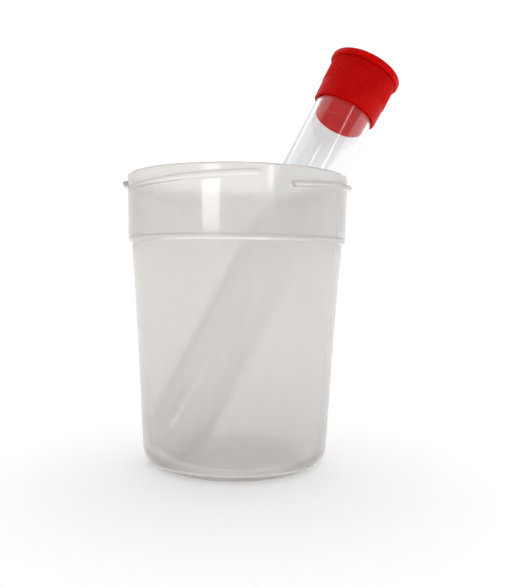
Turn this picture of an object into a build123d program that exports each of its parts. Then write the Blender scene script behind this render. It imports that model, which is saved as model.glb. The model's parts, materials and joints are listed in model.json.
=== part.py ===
from build123d import *

import os
from math import atan2, cos, degrees, radians, sin, sqrt

# Sample set: a screw-neck sample cup with a stoppered tube standing in it, leaning on the rim.
# Millimetres and degrees. The cup stands on Z = 0 and its own axis is +Z.

# Driving dimensions of the cup.
cup_height = 78.0
cup_wall = 1.0
rim_radius = 30.3  # outside of the screw neck at the lip
neck_foot_radius = 29.9  # outside of the neck where it meets the step
step_height = 60.2  # underside of the step between body and neck
shoulder_radius = 29.0  # outside of the tapered body just under the step
base_radius = 25.3  # the body's taper carried down to the standing plane
base_rounding = 4.5
floor_height = 2.0  # inside floor above the standing plane
foot_radius = 19.5  # inside edge of the ring that the cup stands on
foot_depth = 0.7
ledge_height = 61.4  # inside ledge, one wall above the step

# Driving dimensions of the thread: four short lugs that rise to the right round the neck.
lug_count = 4
lug_half_height = 0.7
lug_reach = 1.3  # how far a lug stands out from the lip
lug_root = 1.1  # from the centre of its rounded crest into the wall
lug_start_height = 73.45
lug_start_angle = -153.5  # from +X, anticlockwise seen from above
lug_span = 72.0
lug_rise = 2.3

# Driving dimensions of the tube, measured along its own axis from the tip.
tube_length = 116.0
tube_radius = 8.5
tube_wall = 1.05
tube_flat_radius = 5.0  # the small flat at the bottom of the rounded end

# How the tube stands in the cup: it touches the floor corner, the wall and the rim.
tip_x = -17.9
tip_y = -7.1
tip_z = 4.65
lean = 27.5  # of the tube's axis from the vertical
lean_heading = 11.2  # from +X, anticlockwise seen from above

# Driving dimensions of the stopper, along the tube's axis from the tube's tip.
plug_mouth = 100.8
skirt_lip = 104.9
grip_foot = 109.8
flange_foot = 117.0
stopper_top = 119.1
running_gap = 0.1  # between the stopper's two fits and the tube's wall
plug_radius = 7.2
plug_wall = 1.1
bead_height = 103.4
bead_radius = 0.8  # of the sealing bead's own rounded section
lip_radius = 9.3
grip_radius = 9.45
rib_crest_radius = 9.7
rib_count = 68
flange_radius = 10.35
dish_depth = 0.5

os.makedirs("parts", exist_ok=True)

# The tube's seat: origin at the middle of its tip, Z along the tube, X in the plane of the lean.
heading = Vector(cos(radians(lean_heading)), sin(radians(lean_heading)), 0)
tube_line = heading * sin(radians(lean)) + Vector(0, 0, cos(radians(lean)))
seat = Plane(origin=(tip_x, tip_y, tip_z), x_dir=heading.cross(tube_line).cross(tube_line) * -1, z_dir=tube_line)
seat_section = Plane(origin=seat.origin, x_dir=seat.x_dir, z_dir=seat.y_dir * -1)
seat_axis = Axis(seat.origin, tube_line)


def nearest(sketch, radius, height):
    """The corner of a half-section that lies at this radius and height."""
    return sketch.vertices().sort_by_distance((radius, height, 0))[0]


# One thread lug: a round crest swept up a short helix from +X, with rounded ends, rooted in the wall.
lug_path_radius = rim_radius + lug_reach - lug_half_height

with BuildPart() as lug:
    with BuildLine() as lug_path:
        Helix(pitch=lug_rise * 360 / lug_span, height=lug_rise, radius=lug_path_radius)
    lug_start = lug_path.line @ 0
    with BuildSketch(Plane(origin=lug_start, x_dir=(1, 0, 0), z_dir=lug_path.line % 0)):
        Circle(lug_half_height)
        Rectangle(lug_root, 2 * lug_half_height, align=(Align.MAX, Align.CENTER))
    sweep(path=lug_path.line, is_frenet=True)
    for place in (0, 1):
        crest = lug_path.line @ place
        with Locations(Plane(origin=crest, z_dir=(crest.X, crest.Y, 0))):
            Cylinder(lug_half_height, lug_root, align=(Align.CENTER, Align.CENTER, Align.MAX))
            Sphere(lug_half_height)

# Cup: one revolved shell with an even wall, a step out to the neck, and the thread lugs.
body_slope = (shoulder_radius - base_radius) / step_height
floor_edge_radius = base_radius + body_slope * floor_height - cup_wall
ledge_inner_radius = base_radius + body_slope * ledge_height - cup_wall
inner_rounding = base_rounding - cup_wall

with BuildPart() as cup:
    with BuildSketch(Plane.XZ) as cup_half:
        with BuildLine():
            Polyline(
                (0, foot_depth),
                (foot_radius, foot_depth),
                (foot_radius, 0),
                (base_radius, 0),
                (shoulder_radius, step_height),
                (neck_foot_radius, step_height),
                (rim_radius, cup_height),
                (rim_radius - cup_wall, cup_height),
                (neck_foot_radius - cup_wall, ledge_height),
                (ledge_inner_radius, ledge_height),
                (floor_edge_radius, floor_height),
                (0, floor_height),
                close=True,
            )
        make_face()
        fillet(nearest(cup_half, base_radius, 0), base_rounding)
        fillet(nearest(cup_half, floor_edge_radius, floor_height), inner_rounding)
        fillet(nearest(cup_half, foot_radius, 0), 0.3)
        fillet(nearest(cup_half, neck_foot_radius, step_height), 0.45)
        fillet(nearest(cup_half, ledge_inner_radius, ledge_height), 0.3)
        fillet(nearest(cup_half, rim_radius, cup_height), 0.48)
        fillet(nearest(cup_half, rim_radius - cup_wall, cup_height), 0.48)
    revolve(axis=Axis.Z)

    with PolarLocations(0, lug_count, start_angle=lug_start_angle):
        with Locations((0, 0, lug_start_height)):
            add(lug.part)
cup.part.label = "cup"

# Tube: a straight bore with a rounded end that is cut to a small flat, inside and out.
bore_radius = tube_radius - tube_wall
round_centre = sqrt(tube_radius**2 - tube_flat_radius**2)
bore_flat_drop = round_centre - tube_wall
bore_flat_radius = sqrt(bore_radius**2 - bore_flat_drop**2)
outer_sweep = degrees(atan2(round_centre, tube_flat_radius))
bore_sweep = degrees(atan2(bore_flat_drop, bore_flat_radius))

with BuildPart() as tube:
    with BuildSketch(seat_section) as tube_half:
        with BuildLine():
            Line((0, 0), (tube_flat_radius, 0))
            CenterArc((0, round_centre), tube_radius, -outer_sweep, outer_sweep)
            Line((tube_radius, round_centre), (tube_radius, tube_length))
            Line((tube_radius, tube_length), (bore_radius, tube_length))
            Line((bore_radius, tube_length), (bore_radius, round_centre))
            CenterArc((0, round_centre), bore_radius, -bore_sweep, bore_sweep)
            Line((bore_flat_radius, tube_wall), (0, tube_wall))
            Line((0, tube_wall), (0, 0))
        make_face()
        fillet(nearest(tube_half, tube_radius, tube_length), 0.35)
        fillet(nearest(tube_half, bore_radius, tube_length), 0.35)
    revolve(axis=seat_axis)
tube.part.label = "tube"

# Stopper: one moulding in two solids that meet on the skirt's inside face. The plug is hollow and
# carries the sealing bead and the top's shallow dish; the skirt carries the ribs and the flange.
skirt_inner_radius = tube_radius + running_gap
rim_seat = tube_length + running_gap / 2
plug_ceiling = flange_foot + 0.3
bead_crest_radius = bore_radius - running_gap

with BuildPart() as plug:
    with BuildSketch(seat_section) as plug_half:
        with BuildLine():
            Polyline(
                (0, stopper_top - dish_depth),
                (skirt_inner_radius - dish_depth, stopper_top - dish_depth),
                (skirt_inner_radius, stopper_top),
                (skirt_inner_radius, rim_seat),
                (plug_radius, rim_seat),
                (plug_radius, plug_mouth),
                (plug_radius - plug_wall, plug_mouth),
                (plug_radius - plug_wall, plug_ceiling),
                (0, plug_ceiling),
                close=True,
            )
        make_face()
        fillet(nearest(plug_half, plug_radius, plug_mouth), 0.4)
        fillet(nearest(plug_half, plug_radius - plug_wall, plug_mouth), 0.4)
        with Locations((bead_crest_radius - bead_radius, bead_height)):
            Circle(bead_radius)
    revolve(axis=seat_axis)

with BuildPart() as skirt:
    with BuildSketch(seat_section) as skirt_half:
        with BuildLine():
            Polyline(
                (skirt_inner_radius, stopper_top),
                (flange_radius, stopper_top),
                (flange_radius, flange_foot),
                (grip_radius, flange_foot),
                (grip_radius, grip_foot),
                (lip_radius, skirt_lip),
                (skirt_inner_radius, skirt_lip),
                close=True,
            )
        make_face()
        fillet(nearest(skirt_half, flange_radius, stopper_top), 0.9)
        fillet(nearest(skirt_half, flange_radius, flange_foot), 0.5)
        fillet(nearest(skirt_half, lip_radius, skirt_lip), 0.25)
    revolve(axis=seat_axis)

    rib_pitch = 360 / rib_count
    rib_width = radians(rib_pitch) * grip_radius / 2
    with BuildSketch(seat.offset(grip_foot)):
        Circle(grip_radius)
        with PolarLocations(grip_radius, rib_count):
            Rectangle(2 * (rib_crest_radius - grip_radius), rib_width)
        Circle(skirt_inner_radius, mode=Mode.SUBTRACT)
    extrude(amount=flange_foot - grip_foot)
stopper = Compound(label="stopper", children=[plug.part.solid(), skirt.part.solid()])

for piece in (cup.part, tube.part, stopper):
    export_step(piece, f"parts/{piece.label}.step")
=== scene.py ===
"""Looks of a sampling set: a screw-neck sample cup, and a clear stoppered tube that leans in it.

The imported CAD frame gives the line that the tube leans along. Sizes in the classes are in
millimetres, as a mould maker states them, and become metres when a mesh is written. The studio's
sizes are in metres.
"""

import json
import logging
import math
from dataclasses import dataclass
from enum import Enum

import bpy
import numpy as np
from mathutils import Matrix, Vector


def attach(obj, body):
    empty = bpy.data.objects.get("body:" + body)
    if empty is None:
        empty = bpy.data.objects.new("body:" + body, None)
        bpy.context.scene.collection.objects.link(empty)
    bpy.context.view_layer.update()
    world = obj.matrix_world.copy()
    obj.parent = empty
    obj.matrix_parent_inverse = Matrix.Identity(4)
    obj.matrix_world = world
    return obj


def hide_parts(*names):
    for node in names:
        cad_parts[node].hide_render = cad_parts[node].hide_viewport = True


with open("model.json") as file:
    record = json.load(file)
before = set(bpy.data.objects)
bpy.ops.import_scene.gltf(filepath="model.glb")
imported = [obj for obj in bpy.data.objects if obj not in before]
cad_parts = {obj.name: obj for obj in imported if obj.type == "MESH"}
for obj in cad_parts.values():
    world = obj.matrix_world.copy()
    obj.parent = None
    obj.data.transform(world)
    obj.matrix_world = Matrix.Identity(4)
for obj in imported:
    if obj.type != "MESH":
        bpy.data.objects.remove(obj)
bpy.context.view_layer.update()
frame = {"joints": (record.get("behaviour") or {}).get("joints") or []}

LOG = logging.getLogger("sampling_set")
MM = 0.001
NOISE_RANGE = {"From Min": 0.3, "From Max": 0.7}  # where nearly all of a noise texture's values lie
ROUGHNESS_SPREAD = 0.15  # of a moulded skin, as a share of its roughness either way
Grid = np.ndarray


class Body(Enum):
    """The CAD bodies that the pieces ride on, by the names in the record."""

    CUP = "cup"
    TUBE = "tube"
    STOPPER = "stopper"


class Slot(Enum):
    """The record's material slots."""

    POLYPROPYLENE = "polypropylene"
    POLYSTYRENE = "polystyrene"
    POLYETHYLENE = "polyethylene"


# ---------------------------------------------------------------- colours and nodes


def linear(colour: str, alpha: float = 1.0) -> tuple[float, float, float, float]:
    """Turns an sRGB hex colour to the linear values that a shader takes.

    Args:
        colour: six hex digits after a hash sign.
        alpha: the fourth value.

    Returns:
        Linear red, green and blue, and alpha.
    """
    parts = [int(colour[i : i + 2], 16) / 255 for i in (1, 3, 5)]
    channels = [c / 12.92 if c <= 0.04045 else ((c + 0.055) / 1.055) ** 2.4 for c in parts]
    return (*channels, alpha)


def add_node(
    tree: bpy.types.NodeTree, kind: str, settings: dict | None = None, links: dict | None = None
) -> bpy.types.Node:
    """Adds one node with its settings and its links.

    Args:
        tree: the node tree that gets the node.
        kind: the node's type, such as ShaderNodeTexNoise.
        settings: attribute names, or input names, to their values.
        links: input names or numbers to the output sockets that feed them.

    Returns:
        The new node.
    """
    node = tree.nodes.new(kind)
    for name, value in (settings or {}).items():
        if name in node.inputs:
            node.inputs[name].default_value = value
        else:
            setattr(node, name, value)
    for name, source in (links or {}).items():
        tree.links.new(source, node.inputs[name])
    return node


def new_material(name: str) -> tuple[bpy.types.Material, bpy.types.NodeTree, bpy.types.NodeSocket]:
    """Starts a material with an empty tree and coordinates in millimetres.

    Args:
        name: the plastic's plain name.

    Returns:
        The material, its node tree, and a socket with the place on the object in millimetres.
    """
    material = bpy.data.materials.new(name)
    material.use_nodes = True
    tree = material.node_tree
    tree.nodes.clear()
    place = add_node(tree, "ShaderNodeTexCoord")
    to_mm = (1 / MM,) * 3
    scaled = add_node(tree, "ShaderNodeMapping", {"Scale": to_mm}, {"Vector": place.outputs["Object"]})
    return material, tree, scaled.outputs["Vector"]


# ---------------------------------------------------------------- finishes


@dataclass(frozen=True)
class NaturalPolypropylene:
    """Unpigmented polypropylene, injection moulded: milky, so it lets light through and blurs it.

    The cavity that forms the outside is polished and the core that forms the inside is honed. The eye
    sees clean reflections on the outside, a warm grey haze behind them, and slow waves in the wall.
    """

    name: str
    roughness: float
    tint: str = "#FFFCF9"
    ior: float = 1.49
    transmission: float = 0.7
    haze_size: float = 9.0  # of the cloudy patches in the haze, millimetres
    wave_size: float = 13.0  # of the slow waves in the cooled wall, millimetres
    wave_height: float = 0.03

    def build(self) -> bpy.types.Material:
        """Builds the material.

        Returns:
            The material, with roughness that varies in patches and slow waves in its surface.
        """
        material, tree, place = new_material(self.name)
        haze = add_node(
            tree, "ShaderNodeTexNoise", {"Scale": 1 / self.haze_size, "Detail": 3.0}, {"Vector": place}
        )
        low, high = self.roughness * (1 - ROUGHNESS_SPREAD), self.roughness * (1 + ROUGHNESS_SPREAD)
        rough = add_node(
            tree,
            "ShaderNodeMapRange",
            {**NOISE_RANGE, "To Min": low, "To Max": high},
            {"Value": haze.outputs["Fac"]},
        )
        waves = add_node(
            tree, "ShaderNodeTexNoise", {"Scale": 1 / self.wave_size, "Detail": 0.0}, {"Vector": place}
        )
        wavy = add_node(
            tree,
            "ShaderNodeBump",
            {"Strength": 1.0, "Distance": self.wave_height * MM},
            {"Height": waves.outputs["Fac"]},
        )
        shader = add_node(
            tree,
            "ShaderNodeBsdfPrincipled",
            {
                "Base Color": linear(self.tint),
                "IOR": self.ior,
                "Transmission Weight": self.transmission,
            },
            {"Roughness": rough.outputs["Result"], "Normal": wavy.outputs["Normal"]},
        )
        add_node(tree, "ShaderNodeOutputMaterial", None, {"Surface": shader.outputs["BSDF"]})
        return material


@dataclass(frozen=True)
class ClearPolystyrene:
    """General-purpose polystyrene from a polished mould: glass clear, with sharp thin highlights.

    Its high index bends light more than other plastics do, so the wall shows as grey and bright
    lines along its sides.
    """

    tint: str = "#F8F9FA"
    ior: float = 1.59
    gloss: float = 0.1  # specular level, kept low so that the wall veils little of what is behind it
    roughness: float = 0.035
    wave_size: float = 6.0  # of the slight draw waves in the wall, millimetres
    wave_height: float = 0.004

    def build(self) -> bpy.types.Material:
        """Builds the material.

        Returns:
            The material, with slight waves that keep its highlights from being dead straight.
        """
        material, tree, place = new_material("clear_polystyrene")
        waves = add_node(
            tree, "ShaderNodeTexNoise", {"Scale": 1 / self.wave_size, "Detail": 1.0}, {"Vector": place}
        )
        wavy = add_node(
            tree,
            "ShaderNodeBump",
            {"Strength": 1.0, "Distance": self.wave_height * MM},
            {"Height": waves.outputs["Fac"]},
        )
        shader = add_node(
            tree,
            "ShaderNodeBsdfPrincipled",
            {
                "Base Color": linear(self.tint),
                "IOR": self.ior,
                "Specular IOR Level": self.gloss,
                "Roughness": self.roughness,
                "Transmission Weight": 1.0,
            },
            {"Normal": wavy.outputs["Normal"]},
        )
        add_node(tree, "ShaderNodeOutputMaterial", None, {"Surface": shader.outputs["BSDF"]})
        return material


@dataclass(frozen=True)
class RedPolyethylene:
    """Low-density polyethylene with a red masterbatch: waxy, a little see-through, softly glossy.

    The colour is slightly uneven where the pigment was mixed, and light spreads a few millimetres
    inside it, so the ribs' shadows stay soft. A thin wall can also have a painted glow: emission in
    its own colour that stands in for daylight coming through it.
    """

    name: str = "red_polyethylene"
    colour: str = "#CC0502"
    deep: str = "#BE0402"
    ior: float = 1.51
    gloss: float = 0.07  # specular level: the waxy skin reflects less than its index says
    roughness: float = 0.42
    mottle_size: float = 3.5  # of the uneven pigment, millimetres
    mottle_from: float = 0.35  # the noise value up to which the pigment is at its deepest
    mottle_to: float = 0.65
    grain_size: float = 0.6  # of the mould's fine texture, drawn coarse enough to show, millimetres
    grain_height: float = 0.002
    spread: float = 1.0  # how much of the light goes inside before it comes back
    spread_reach: tuple[float, float, float] = (3.0, 0.15, 0.12)  # of red, green and blue, millimetres
    painted_glow: float = 0.0  # painted glow: emission in the colour, standing in for light that comes through a thin wall from behind, as a share of the colour

    def build(self) -> bpy.types.Material:
        """Builds the material.

        Returns:
            The material, with mottled pigment, fine grain, a little light spread inside it, and a painted
            glow where one is set.
        """
        material, tree, place = new_material(self.name)
        mottle = add_node(
            tree, "ShaderNodeTexNoise", {"Scale": 1 / self.mottle_size, "Detail": 4.0}, {"Vector": place}
        )
        colours = add_node(tree, "ShaderNodeValToRGB", None, {"Fac": mottle.outputs["Fac"]})
        darker, lighter = colours.color_ramp.elements
        darker.position, darker.color = self.mottle_from, linear(self.deep)
        lighter.position, lighter.color = self.mottle_to, linear(self.colour)
        low, high = self.roughness * (1 - ROUGHNESS_SPREAD), self.roughness * (1 + ROUGHNESS_SPREAD)
        rough = add_node(
            tree,
            "ShaderNodeMapRange",
            {**NOISE_RANGE, "To Min": low, "To Max": high},
            {"Value": mottle.outputs["Fac"]},
        )
        grain = add_node(
            tree, "ShaderNodeTexNoise", {"Scale": 1 / self.grain_size, "Detail": 2.0}, {"Vector": place}
        )
        grained = add_node(
            tree,
            "ShaderNodeBump",
            {"Strength": 1.0, "Distance": self.grain_height * MM},
            {"Height": grain.outputs["Fac"]},
        )
        shader = add_node(
            tree,
            "ShaderNodeBsdfPrincipled",
            {
                "IOR": self.ior,
                "Specular IOR Level": self.gloss,
                "Subsurface Weight": self.spread,
                "Subsurface Radius": tuple(reach * MM for reach in self.spread_reach),
                "Subsurface Scale": 1.0,
                # painted glow: emission in the red's own colour stands in for light coming through a thin
                # wall
                "Emission Color": linear(self.colour),
                "Emission Strength": self.painted_glow,
            },
            {
                "Base Color": colours.outputs["Color"],
                "Roughness": rough.outputs["Result"],
                "Normal": grained.outputs["Normal"],
            },
        )
        add_node(tree, "ShaderNodeOutputMaterial", None, {"Surface": shader.outputs["BSDF"]})
        return material


# ---------------------------------------------------------------- surfaces


def rounded_outline(
    corners: list[tuple[float, float, float]], arc_steps: int = 6, support: float = 0.12
) -> Grid:
    """Rounds the corners of an outline of straight runs, each with its own radius.

    At a corner the arc starts and ends radius x tan(turn / 2) along the two runs. Its points step
    evenly in angle about the centre, which lies radius / cos(turn / 2) from the corner along the
    bisector. One more point on each run, just outside each arc, keeps the shading of the run flat.

    Args:
        corners: radius from the axis, height, and rounding of each corner, in order.
        arc_steps: how many chords each arc has.
        support: how far outside its arc the extra point lies.

    Returns:
        The points, as an array of radius and height.
    """
    points = [np.array(corners[0][:2])]
    for before, here, after in zip(corners, corners[1:], corners[2:]):
        corner, rounding = np.array(here[:2]), here[2]
        back = np.array(before[:2]) - corner
        ahead = np.array(after[:2]) - corner
        room_back, room_ahead = np.linalg.norm(back), np.linalg.norm(ahead)
        back, ahead = back / room_back, ahead / room_ahead
        turn = math.pi - math.acos(float(np.clip(back @ ahead, -1, 1)))
        reach = rounding * math.tan(turn / 2)
        bisector = (back + ahead) / np.linalg.norm(back + ahead)
        centre = corner + bisector * rounding / math.cos(turn / 2)
        start, end = corner + back * reach - centre, corner + ahead * reach - centre
        swing = math.atan2(start[0] * end[1] - start[1] * end[0], float(start @ end))
        angles = np.linspace(0, swing, arc_steps + 1)[:, None]
        across = np.array([-start[1], start[0]])
        arc = centre + np.cos(angles) * start + np.sin(angles) * across
        if room_back > reach + 2 * support:
            points.append(corner + back * (reach + support))
        points.extend(arc)
        if room_ahead > reach + 2 * support:
            points.append(corner + ahead * (reach + support))
    points.append(np.array(corners[-1][:2]))
    return np.array(points)


def lathe(radii: Grid, heights: Grid, angles: Grid) -> Grid:
    """Turns a profile round the Z axis: x = radius cos angle, y = radius sin angle, z = height.

    Args:
        radii: radius of each row, or of each row at each angle.
        heights: height, in the same form.
        angles: the angle of each column.

    Returns:
        Points by row, column and axis.
    """
    radii = np.broadcast_to(radii.reshape(len(radii), -1), (len(radii), len(angles)))
    heights = np.broadcast_to(heights.reshape(len(heights), -1), radii.shape)
    return np.stack([radii * np.cos(angles), radii * np.sin(angles), heights], axis=-1)


def closed_skin(
    name: str,
    grid: Grid,
    outside: bpy.types.Material,
    inside: bpy.types.Material | None = None,
    lip_row: int = 0,
) -> bpy.types.Object:
    """Makes one closed smooth mesh from a lathe grid whose first and last rows lie on the axis.

    The columns close round. The two end rows become single points with a fan of triangles each.

    Args:
        name: the piece's name.
        grid: points by row, column and axis, in millimetres.
        outside: the finish of the piece, or of its rows up to the lip.
        inside: the finish of the rows after the lip.
        lip_row: the row where the inside starts.

    Returns:
        The new object, at the origin.
    """
    rows, columns = grid.shape[:2]
    middle = grid[1:-1].reshape(-1, 3)
    points = np.concatenate([middle, grid[:1, 0], grid[-1:, 0]]) * MM
    index = np.arange(len(middle)).reshape(rows - 2, columns)
    turned = np.roll(index, -1, axis=1)
    quads = np.stack([index[:-1], turned[:-1], turned[1:], index[1:]], axis=-1).reshape(-1, 4)
    first, last = len(middle), len(middle) + 1
    fan_first = np.stack([np.full(columns, first), turned[0], index[0]], axis=-1)
    fan_last = np.stack([np.full(columns, last), index[-1], turned[-1]], axis=-1)
    mesh = bpy.data.meshes.new(name)
    mesh.from_pydata(points.tolist(), [], quads.tolist() + fan_first.tolist() + fan_last.tolist())
    mesh.polygons.foreach_set("use_smooth", np.ones(len(mesh.polygons), bool))
    mesh.materials.append(outside)
    if inside is not None:
        mesh.materials.append(inside)
        rings = np.repeat(np.arange(rows - 3) >= lip_row, columns)
        slots = np.concatenate([rings, np.zeros(columns), np.ones(columns)]).astype(np.int32)
        mesh.polygons.foreach_set("material_index", slots)
    mesh.update()
    piece = bpy.data.objects.new(name, mesh)
    bpy.context.scene.collection.objects.link(piece)
    return piece


@dataclass(frozen=True)
class Seat:
    """Where the tube stands: the middle of its tip, and the line it leans along."""

    tip: tuple[float, float, float] = (-17.9, -7.1, 4.65)

    def line(self) -> Vector:
        """The direction of the tube, from the joint that lifts it."""
        joint = next(j for j in frame["joints"] if j["name"] == "tube_lift")
        return Vector(joint["axis"]).normalized()

    def place(self, grid: Grid) -> Grid:
        """Moves points from the tube's own upright frame to where the tube leans.

        Args:
            grid: points whose last axis is x, y and z, with z along the tube from its tip.

        Returns:
            The same points in the object's frame.
        """
        line = self.line()
        level = Vector((line.x, line.y, 0)).normalized()
        side = Vector((-level.y, level.x, 0))
        lean = side.cross(line)
        turn = np.array([lean, side, line])
        return grid @ turn + np.array(self.tip)


# ---------------------------------------------------------------- the pieces


@dataclass
class SampleCup:
    """The cup: a tapered body, a step out to the screw neck, four thread lugs, a floor and a foot ring."""

    height: float = 78.0
    wall: float = 1.0
    rim_radius: float = 30.3
    neck_foot_radius: float = 29.9
    step_height: float = 60.2
    shoulder_radius: float = 29.0
    base_radius: float = 25.3
    base_rounding: float = 4.5
    floor_height: float = 2.0
    foot_radius: float = 19.5
    foot_depth: float = 0.7
    foot_inner_rounding: float = 0.2
    foot_edge_rounding: float = 0.3
    shoulder_rounding: float = 0.35
    neck_foot_rounding: float = 0.45
    lip_rounding: float = 0.48
    ledge_height: float = 61.4
    ledge_rounding: float = 0.3
    lug_count: int = 4
    lug_half_height: float = 0.7
    lug_reach: float = 1.3
    lug_start_height: float = 73.45
    lug_start_angle: float = -153.5  # degrees from +X, anticlockwise from above, as the span is
    lug_span: float = 72.0
    lug_rise: float = 2.3
    lug_root_rounding: float = 0.22
    columns: int = 288
    end_columns: int = 9  # over each round end of a lug
    end_overshoot: float = 1.03  # the last of them stands this many times the end's length out
    column_clearance: float = 0.3  # degrees that the even columns keep from those
    arc_steps: int = 8
    outer_lip_rows: int = 9  # rows over the lugs that have the outside's finish
    zone_below: float = 4.0  # from the rows under the lugs to the lugs' start
    zone_above: float = 0.7  # from the rows over the lugs to the lip
    rows_below: tuple[float, ...] = (0.33, 0.66, 0.93)  # shares of the way from under the lugs to them
    rows_above: tuple[float, ...] = (0.9, 0.5)  # and from over the lugs
    root_rows: int = 3
    crest_rows: int = 13
    row_half_gap: float = 0.12  # keeps a lug's rows apart where there is no lug

    def build(self, polished: NaturalPolypropylene, honed: NaturalPolypropylene) -> bpy.types.Object:
        """Makes the cup as one closed moulding.

        Args:
            polished: the finish of its outside.
            honed: the finish of its inside.

        Returns:
            The piece.
        """
        angles = self.column_angles()
        below, above = self.section()
        radii, heights = self.neck(angles, below[-1], above[0])
        around = np.ones(len(angles))
        radii = np.concatenate([np.outer(below[:, 0], around), radii, np.outer(above[:, 0], around)])
        heights = np.concatenate([np.outer(below[:, 1], around), heights, np.outer(above[:, 1], around)])
        lip_row = len(radii) - len(above) + self.outer_lip_rows
        grid = lathe(radii, heights, angles)
        piece = closed_skin("cup_moulding", grid, polished.build(), honed.build(), lip_row)
        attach(piece, Body.CUP.value)
        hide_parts(Body.CUP.value)
        return piece

    def section(self) -> tuple[Grid, Grid]:
        """The cup's section in two stretches, below and above the zone of the lugs.

        Returns:
            From the middle of the underside to under the lugs, and from over the lugs round the lip
            to the middle of the inside floor.
        """
        slope = (self.shoulder_radius - self.base_radius) / self.step_height
        inner = self.base_radius - self.wall
        low, high = self.lug_zone()
        outline = rounded_outline(
            [
                (0, self.foot_depth, 0),
                (self.foot_radius, self.foot_depth, self.foot_inner_rounding),
                (self.foot_radius, 0, self.foot_edge_rounding),
                (self.base_radius, 0, self.base_rounding),
                (self.shoulder_radius, self.step_height, self.shoulder_rounding),
                (self.neck_foot_radius, self.step_height, self.neck_foot_rounding),
                (self.neck_radius(low), low, 0),
            ],
            self.arc_steps,
        )
        lip = rounded_outline(
            [
                (self.neck_radius(high), high, 0),
                (self.rim_radius, self.height, self.lip_rounding),
                (self.rim_radius - self.wall, self.height, self.lip_rounding),
                (self.neck_foot_radius - self.wall, self.ledge_height, self.ledge_rounding),
                (inner + slope * self.ledge_height, self.ledge_height, self.ledge_rounding),
                (inner + slope * self.floor_height, self.floor_height, self.base_rounding - self.wall),
                (0, self.floor_height, 0),
            ],
            self.arc_steps,
        )
        return outline, lip

    def lug_zone(self) -> tuple[float, float]:
        """The heights between which the rows of the mesh follow the lugs."""
        return self.lug_start_height - self.zone_below, self.height - self.zone_above

    def neck_radius(self, height: Grid | float) -> Grid | float:
        """The neck's outside radius at a height: a straight line from its foot to the lip."""
        share = (height - self.step_height) / (self.height - self.step_height)
        return self.neck_foot_radius + share * (self.rim_radius - self.neck_foot_radius)

    def column_angles(self) -> Grid:
        """Angles of the columns: even all round, and packed close where the lugs' round ends are.

        Returns:
            The sorted angles, in radians.
        """
        even = np.arange(self.columns) * 360 / self.columns
        end = math.degrees(self.lug_half_height / self.rim_radius)
        close = np.sin(np.linspace(0, math.pi / 2, self.end_columns)) * end
        close = np.append(close, end * self.end_overshoot)
        starts = self.lug_start_angle + np.arange(self.lug_count)[:, None] * 360 / self.lug_count
        ends = np.concatenate([starts - close, starts + self.lug_span + close])
        near = np.abs((even[:, None] - ends.ravel() + 180) % 360 - 180).min(axis=1)
        kept = even[near > self.column_clearance]
        return np.radians(np.sort(np.concatenate([kept, ends.ravel() % 360])))

    def lug_line(self, angles: Grid) -> tuple[Grid, Grid]:
        """The line that the lugs' middles follow, and how high the lugs are along it.

        Along a lug the line climbs evenly from its start to its end, and between lugs it falls
        back. Past an end by e the lug's half height is the root of (half height squared - e
        squared), so the outline closes in a half circle.

        Args:
            angles: the columns' angles.

        Returns:
            The line's height and the lugs' half height at each angle.
        """
        period = 360 / self.lug_count
        bare = period - self.lug_span
        turn = (np.degrees(angles) - self.lug_start_angle) % period
        past = np.where(turn > self.lug_span + bare / 2, turn - period, turn)
        beyond = np.maximum(np.maximum(-past, past - self.lug_span), 0)
        fall = np.sign(past) * beyond / bare
        line = self.lug_start_height + self.lug_rise * (np.clip(past / self.lug_span, 0, 1) - fall)
        half = np.sqrt(np.maximum(self.lug_half_height**2 - (np.radians(beyond) * self.rim_radius) ** 2, 0))
        return line, half

    def neck(self, angles: Grid, below: Grid, above: Grid) -> tuple[Grid, Grid]:
        """The rows over the lugs: each follows the lugs' line, and stands out by the lug's section.

        The section is a root fillet, a short upright side, and a half circle whose height above
        the side is the half height x sine. The fillet stands out by its radius x (1 - cosine) while
        it closes in on the side by its radius x (1 - sine).

        Args:
            angles: the columns' angles.
            below: radius and height of the last point under the zone.
            above: radius and height of the first point over it.

        Returns:
            Radius and height of each row at each angle.
        """
        line, half = self.lug_line(angles)
        side = (self.lug_reach - self.lug_half_height) * (half > 0)
        spaced = np.maximum(half, self.row_half_gap)
        sweep = np.linspace(0, math.pi, self.crest_rows)[:, None]
        root = np.linspace(0, math.pi / 2, self.root_rows, endpoint=False)[:, None]
        foot_out = np.minimum(self.lug_root_rounding * (1 - np.cos(root)), side)
        foot_half = spaced + self.lug_root_rounding * (1 - np.sin(root))
        stands = np.concatenate([foot_out, side + half * np.sin(sweep), foot_out[::-1]])
        rows = line + np.concatenate([-foot_half, -spaced * np.cos(sweep), foot_half[::-1]])
        bottom = below[1] + (rows[0] - below[1]) * np.array(self.rows_below)[:, None]
        top = above[1] + (rows[-1] - above[1]) * np.array(self.rows_above)[:, None]
        heights = np.concatenate([bottom, rows, top])
        lift = np.pad(stands, ((len(bottom), len(top)), (0, 0)))
        return self.neck_radius(heights) + lift, heights


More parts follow.
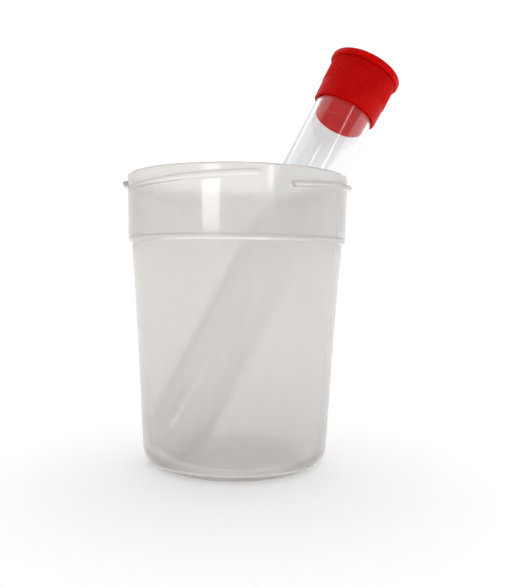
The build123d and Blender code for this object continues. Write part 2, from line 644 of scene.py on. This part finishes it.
@dataclass
class SampleTube:
    """The tube: one clear moulding with an even wall and a round end cut to a small flat."""

    length: float = 116.0
    radius: float = 8.5
    wall: float = 1.05
    flat_radius: float = 5.0
    rim_rounding: float = 0.35
    columns: int = 256
    arc_steps: int = 18
    arc_margin: float = 1.0  # from the round end to the first row of the straight wall
    flat_margin: float = 0.5  # from the flat's edge to its last row

    def build(self, finish: ClearPolystyrene, seat: Seat) -> bpy.types.Object:
        """Makes the tube where it leans in the cup.

        Args:
            finish: what it is moulded in.
            seat: where it stands.

        Returns:
            The piece.
        """
        outline = self.outline()
        angles = np.linspace(0, 2 * math.pi, self.columns, endpoint=False)
        grid = seat.place(lathe(outline[:, 0], outline[:, 1], angles))
        piece = closed_skin("tube_moulding", grid, finish.build())
        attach(piece, Body.TUBE.value)
        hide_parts(Body.TUBE.value)
        return piece

    def round_end(self, radius: float, flat_height: float) -> Grid:
        """An arc about the round end's centre, from the flat to the straight wall.

        Args:
            radius: of this face of the wall.
            flat_height: where the flat cuts the arc, above the tip.

        Returns:
            Points from the flat's edge up to the wall, as radius and height.
        """
        centre = math.sqrt(self.radius**2 - self.flat_radius**2)
        start = -math.asin((centre - flat_height) / radius)
        angles = np.linspace(start, 0, self.arc_steps + 1)
        return np.stack([radius * np.cos(angles), centre + radius * np.sin(angles)], axis=-1)

    def outline(self) -> Grid:
        """The tube's section: the outside from the tip up, round the rim, and down the bore.

        Returns:
            The points, as an array of radius and height.
        """
        outer = self.round_end(self.radius, 0.0)
        bore = self.round_end(self.radius - self.wall, self.wall)[::-1]
        rim = rounded_outline(
            [
                (self.radius, outer[-1, 1] + self.arc_margin, 0),
                (self.radius, self.length, self.rim_rounding),
                (self.radius - self.wall, self.length, self.rim_rounding),
                (self.radius - self.wall, bore[0, 1] + self.arc_margin, 0),
            ]
        )
        flat = np.array([[0.0, 0.0], [self.flat_radius - self.flat_margin, 0.0]])
        inner_flat = np.array([[bore[-1, 0] - self.flat_margin, self.wall], [0.0, self.wall]])
        return np.concatenate([flat, outer, rim, bore, inner_flat])


@dataclass
class PushInStopper:
    """The stopper: a hollow plug with a sealing bead, a skirt over the tube, ribs, and a flange."""

    plug_mouth: float = 100.8
    skirt_lip: float = 104.9
    grip_foot: float = 109.8
    flange_foot: float = 117.0
    top: float = 119.1
    rim_seat: float = 116.05
    skirt_inner_radius: float = 8.6
    seat_rounding: float = 0.3
    bore_radius: float = 7.45  # of the tube, which the plug fits
    plug_radius: float = 7.2
    plug_wall: float = 1.1
    mouth_rounding: float = 0.4
    ceiling: float = 117.3  # of the plug's hollow
    ceiling_rounding: float = 0.8
    bead_height: float = 103.4
    bead_stands_out: float = 0.15
    bead_half_width: float = 0.6
    bead_margin: float = 1.0  # from the bead's middle to the plug's rows on either side
    bead_rows: int = 11
    lip_radius: float = 9.3
    lip_rounding: float = 0.25
    lip_inner_rounding: float = 0.15
    grip_radius: float = 9.45
    grip_foot_rounding: float = 0.05
    grip_top_rounding: float = 0.3
    grip_top_margin: float = 0.7  # from the grip's top down to its first even row
    grip_foot_margin: float = 0.6
    grip_rows: int = 12
    rib_count: int = 68
    rib_depth: float = 0.19
    rib_steepness: float = 1.6
    rib_valley: float = 0.15  # of the wave, cut away to leave a flat valley
    rib_crown: float = 0.8  # power that fills out the crest
    rib_foot_fade: tuple[float, float] = (0.1, 0.35)  # start above the grip's foot, and length
    rib_top_fade: tuple[float, float] = (-0.05, 0.2)  # start below the flange, and length
    flange_radius: float = 10.34
    flange_top_rounding: float = 0.9
    flange_foot_rounding: float = 0.5
    dish_radius: float = 8.1
    dish_depth: float = 0.5
    dish_floor_rounding: float = 0.4
    dish_edge_rounding: float = 0.25
    columns_per_rib: int = 8

    def build(self, thick: RedPolyethylene, thin: RedPolyethylene, seat: Seat) -> bpy.types.Object:
        """Makes the stopper where it sits on the tube.

        Args:
            thick: the finish of its skirt, grip and top.
            thin: the finish of the plug's wall, which has a painted glow.
            seat: where the tube stands.

        Returns:
            The piece.
        """
        outline = self.outline()
        angles = np.linspace(0, 2 * math.pi, self.rib_count * self.columns_per_rib, endpoint=False)
        radii = outline[:, :1] + self.ribs(outline, angles)
        grid = seat.place(lathe(radii, outline[:, 1], angles))
        seat_row = int(np.argmax(outline[:, 0] > self.bore_radius))
        piece = closed_skin("stopper_moulding", grid, thin.build(), thick.build(), seat_row)
        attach(piece, Body.STOPPER.value)
        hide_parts(Body.STOPPER.value)
        return piece

    def ribs(self, outline: Grid, angles: Grid) -> Grid:
        """How far the grip's ribs stand out: a rounded wave round the grip, faded at its two ends.

        The wave is (1 + cosine of the rib count x angle) / 2, made steeper and cut at both ends, and
        raised to a power under one.

        Args:
            outline: radius and height of each row.
            angles: the columns' angles.

        Returns:
            Millimetres to add to the radius, by row and column.
        """
        wave = (1 + np.cos(angles * self.rib_count)) / 2
        ridge = np.clip(wave * self.rib_steepness - self.rib_valley, 0, 1) ** self.rib_crown
        on_grip = np.isclose(outline[:, 0], self.grip_radius, rtol=0, atol=0.02)
        up, down = outline[:, 1] - self.grip_foot, self.flange_foot - outline[:, 1]
        fades = [
            np.clip((reach - start) / length, 0, 1)
            for reach, (start, length) in ((up, self.rib_foot_fade), (down, self.rib_top_fade))
        ]
        return np.outer(fades[0] * fades[1] * on_grip, ridge) * self.rib_depth

    def outline(self) -> Grid:
        """The stopper's section: from inside the plug, round its mouth, up the outside, to the top.

        Each stretch is worked out from the top down, and the whole is then turned round.

        Returns:
            The points, as an array of radius and height.
        """
        plug_inner = self.plug_radius - self.plug_wall
        grip_top, grip_low = self.flange_foot - self.grip_top_margin, self.grip_foot + self.grip_foot_margin
        outside = rounded_outline(
            [
                (0, self.top - self.dish_depth, 0),
                (self.dish_radius, self.top - self.dish_depth, self.dish_floor_rounding),
                (self.dish_radius + self.dish_depth, self.top, self.dish_edge_rounding),
                (self.flange_radius, self.top, self.flange_top_rounding),
                (self.flange_radius, self.flange_foot, self.flange_foot_rounding),
                (self.grip_radius, self.flange_foot, self.grip_top_rounding),
                (self.grip_radius, grip_top, 0),
            ]
        )
        climb = np.linspace(grip_top, grip_low, self.grip_rows)[1:-1]
        grip = np.stack([np.full(len(climb), self.grip_radius), climb], axis=-1)
        skirt = rounded_outline(
            [
                (self.grip_radius, grip_low, 0),
                (self.grip_radius, self.grip_foot, self.grip_foot_rounding),
                (self.lip_radius, self.skirt_lip, self.lip_rounding),
                (self.skirt_inner_radius, self.skirt_lip, self.lip_inner_rounding),
                (self.skirt_inner_radius, self.rim_seat, self.seat_rounding),
                (self.plug_radius, self.rim_seat, self.seat_rounding),
                (self.plug_radius, self.bead_height + self.bead_margin, 0),
            ]
        )
        swell = np.linspace(1, -1, self.bead_rows)
        bead = np.stack(
            [
                self.plug_radius + self.bead_stands_out * np.sqrt(1 - swell**2),
                self.bead_height + self.bead_half_width * swell,
            ],
            axis=-1,
        )
        mouth = rounded_outline(
            [
                (self.plug_radius, self.bead_height - self.bead_margin, 0),
                (self.plug_radius, self.plug_mouth, self.mouth_rounding),
                (plug_inner, self.plug_mouth, self.mouth_rounding),
                (plug_inner, self.ceiling, self.ceiling_rounding),
                (0, self.ceiling, 0),
            ]
        )
        return np.concatenate([outside, grip, skirt, bead, mouth])[::-1]


# ---------------------------------------------------------------- stage


@dataclass(frozen=True)
class SoftBox:
    """One upright soft box that faces the object, with its sizes in metres."""

    name: str
    heading: float  # degrees round from the camera's side, positive to the right
    width: float
    foot: float  # the height of its lower edge
    head: float  # the height of its upper edge
    radiance: float
    distance: float = 1.1

    def build(self) -> None:
        """Makes the light. Its power is radiance x pi x area."""
        tall = self.head - self.foot
        lamp = bpy.data.lights.new(self.name, "AREA")
        lamp.shape, lamp.size, lamp.size_y = "RECTANGLE", self.width, tall
        lamp.energy = self.radiance * math.pi * self.width * tall
        holder = bpy.data.objects.new(self.name, lamp)
        angle = math.radians(self.heading)
        out = Vector((math.sin(angle), -math.cos(angle), 0))
        holder.location = out * self.distance + Vector((0, 0, (self.foot + self.head) / 2))
        holder.rotation_euler = (-out).to_track_quat("-Z", "Y").to_euler()
        bpy.context.scene.collection.objects.link(holder)


@dataclass(frozen=True)
class Studio:
    """A pale glowing floor, a bright plain surround, soft boxes, a broad light above and the camera."""

    floor_size: float = 20.0
    floor_colour: str = "#F8F8F8"
    floor_roughness: float = 0.9
    glow_near_painted_shade: float = 0.29  # of the floor round the object, lower than far out: painted shade round the object
    glow_far: float = 0.52
    glow_reach: tuple[float, float] = (0.05, 0.2)  # metres from the middle between which the glow grows from its painted shade to full
    backdrop: float = 1.1  # what the camera meets in the surround's place
    front_light: float = 0.43
    back_light: float = 1.07
    light_heading: float = 9.0  # the bright side, degrees round from straight behind, positive to the right
    light_turn: tuple[float, float] = (0.15, 0.9)  # sideways parts toward it: dim at one, bright at the other
    high_share: float = 0.78  # of that light, above the low bright band
    band_rise: tuple[float, float] = (0.13, 0.2)  # upward parts of a direction between which the band ends
    soft_boxes: tuple[SoftBox, ...] = (
        SoftBox("window_left", -26.0, 0.33, 0.086, 0.22, 5.6),
        SoftBox("window_right", 32.0, 0.10, 0.155, 0.28, 4.4),
        SoftBox("window_right_high", 32.0, 0.10, 0.28, 0.60, 2.2),
    )
    overhead_place: tuple[float, float, float] = (0.0, 0.25, 1.0)
    overhead_spread: float = 100.0
    overhead_power: float = 1.0
    camera_distance: float = 0.1822
    camera_height: float = 0.0525
    camera_pitch: float = 0.034  # radians down from level
    camera_yaw: float = 0.0244  # radians to the right
    camera_roll: float = 0.0133  # radians
    camera_clip: float = 0.01
    focal_length: float = 39.894  # millimetres, for a frame 36 mm high
    sensor_size: float = 36.0

    def build(self) -> None:
        """Makes the floor, the lights and the camera."""
        self.floor()
        self.surround()
        for box in self.soft_boxes:
            box.build()
        self.overhead()
        self.camera()

    def floor(self) -> None:
        """A matt white light table under the object, its glow dimmer near it as painted shade round the
        object.
        """
        half = self.floor_size / 2
        corners = [(-half, -half, 0), (half, -half, 0), (half, half, 0), (-half, half, 0)]
        mesh = bpy.data.meshes.new("floor")
        mesh.from_pydata(corners, [], [(0, 1, 2, 3)])
        material = bpy.data.materials.new("matt_white_acrylic")
        material.use_nodes = True
        tree = material.node_tree
        tree.nodes.clear()
        place = add_node(tree, "ShaderNodeTexCoord")
        away = add_node(tree, "ShaderNodeVectorMath", {"operation": "LENGTH"}, {0: place.outputs["Object"]})
        near, far = self.glow_reach
        # painted shade: the floor glows less round the object than far out
        glow = add_node(
            tree,
            "ShaderNodeMapRange",
            {"From Min": near, "From Max": far, "To Min": self.glow_near_painted_shade, "To Max": self.glow_far},
            {"Value": away.outputs["Value"]},
        )
        shader = add_node(
            tree,
            "ShaderNodeBsdfPrincipled",
            {
                "Base Color": linear(self.floor_colour),
                "Roughness": self.floor_roughness,
                "Specular IOR Level": 0.0,
                "Emission Color": linear("#FFFFFF"),
            },
            {"Emission Strength": glow.outputs["Result"]},
        )
        add_node(tree, "ShaderNodeOutputMaterial", None, {"Surface": shader.outputs["BSDF"]})
        mesh.materials.append(material)
        sheet = bpy.data.objects.new("floor", mesh)
        bpy.context.scene.collection.objects.link(sheet)

    def surround(self) -> None:
        """A surround that is bright behind the object, dimmer higher up, and grey on the camera's side.

        The camera itself meets an even white backdrop in its place.
        """
        world = bpy.data.worlds.new("studio")
        world.use_nodes = True
        tree = world.node_tree
        tree.nodes.clear()
        way = add_node(tree, "ShaderNodeTexCoord")
        heading = math.radians(self.light_heading)
        toward = (math.sin(heading), math.cos(heading), 0)
        part = add_node(
            tree, "ShaderNodeVectorMath", {"operation": "DOT_PRODUCT"}, {0: way.outputs["Generated"]}
        )
        part.inputs[1].default_value = toward
        dim, bright = self.light_turn
        shade = add_node(
            tree,
            "ShaderNodeMapRange",
            {"From Min": dim, "From Max": bright, "To Min": self.front_light, "To Max": self.back_light},
            {"Value": part.outputs["Value"]},
        )
        height = add_node(tree, "ShaderNodeSeparateXYZ", None, {"Vector": way.outputs["Generated"]})
        low, high = self.band_rise
        band = add_node(
            tree,
            "ShaderNodeMapRange",
            {"From Min": low, "From Max": high, "To Min": 1.0, "To Max": self.high_share},
            {"Value": height.outputs["Z"]},
        )
        banded = add_node(
            tree,
            "ShaderNodeMath",
            {"operation": "MULTIPLY"},
            {0: shade.outputs["Result"], 1: band.outputs["Result"]},
        )
        path = add_node(tree, "ShaderNodeLightPath")
        seen = add_node(
            tree,
            "ShaderNodeMix",
            {"B": self.backdrop},
            {"Factor": path.outputs["Is Camera Ray"], "A": banded.outputs["Value"]},
        )
        light = add_node(
            tree, "ShaderNodeBackground", {"Color": linear("#FFFFFF")}, {"Strength": seen.outputs["Result"]}
        )
        add_node(tree, "ShaderNodeOutputWorld", None, {"Surface": light.outputs["Background"]})
        bpy.context.scene.world = world

    def overhead(self) -> None:
        """A very broad, even light from above and a little behind."""
        lamp = bpy.data.lights.new("overhead", "SUN")
        lamp.angle, lamp.energy = math.radians(self.overhead_spread), self.overhead_power
        holder = bpy.data.objects.new("overhead", lamp)
        holder.location = self.overhead_place
        holder.rotation_euler = (-holder.location).to_track_quat("-Z", "Y").to_euler()
        bpy.context.scene.collection.objects.link(holder)

    def camera(self) -> None:
        """The camera: near the object and almost level, turned a little to the right."""
        data = bpy.data.cameras.new("camera")
        data.sensor_width = self.sensor_size
        data.lens = self.focal_length
        data.clip_start = self.camera_clip
        holder = bpy.data.objects.new("camera", data)
        turned, dipped, tilted = self.camera_yaw, self.camera_pitch, self.camera_roll
        level = Vector((math.cos(turned), -math.sin(turned), 0))
        forward = Vector((math.sin(turned), math.cos(turned), 0))
        ahead = math.cos(dipped) * forward - math.sin(dipped) * Vector((0, 0, 1))
        rise = level.cross(ahead)
        right = math.cos(tilted) * level + math.sin(tilted) * rise
        up = -math.sin(tilted) * level + math.cos(tilted) * rise
        turn = Matrix((right, up, -ahead)).transposed().to_4x4()
        holder.matrix_world = Matrix.Translation((0, -self.camera_distance, self.camera_height)) @ turn
        bpy.context.scene.collection.objects.link(holder)
        bpy.context.scene.camera = holder


def main() -> None:
    """Builds the pieces and the stage."""
    logging.basicConfig(level=logging.INFO, format="%(name)s: %(message)s")
    bpy.context.scene.view_settings.view_transform = "Standard"
    Studio().build()
    seat = Seat()
    polished = NaturalPolypropylene("polished_natural_polypropylene", roughness=0.09)
    honed = NaturalPolypropylene("honed_natural_polypropylene", roughness=0.2)
    # the plug's wall gets a painted glow: emission standing in for light coming through it
    thin_red = RedPolyethylene("thin_red_polyethylene", painted_glow=0.33)
    pieces = [
        SampleCup().build(polished, honed),
        SampleTube().build(ClearPolystyrene(), seat),
        PushInStopper().build(RedPolyethylene(), thin_red, seat),
    ]
    for piece in pieces:
        LOG.info("%s: %d faces", piece.name, len(piece.data.polygons))


if __name__ == "__main__":
    main()
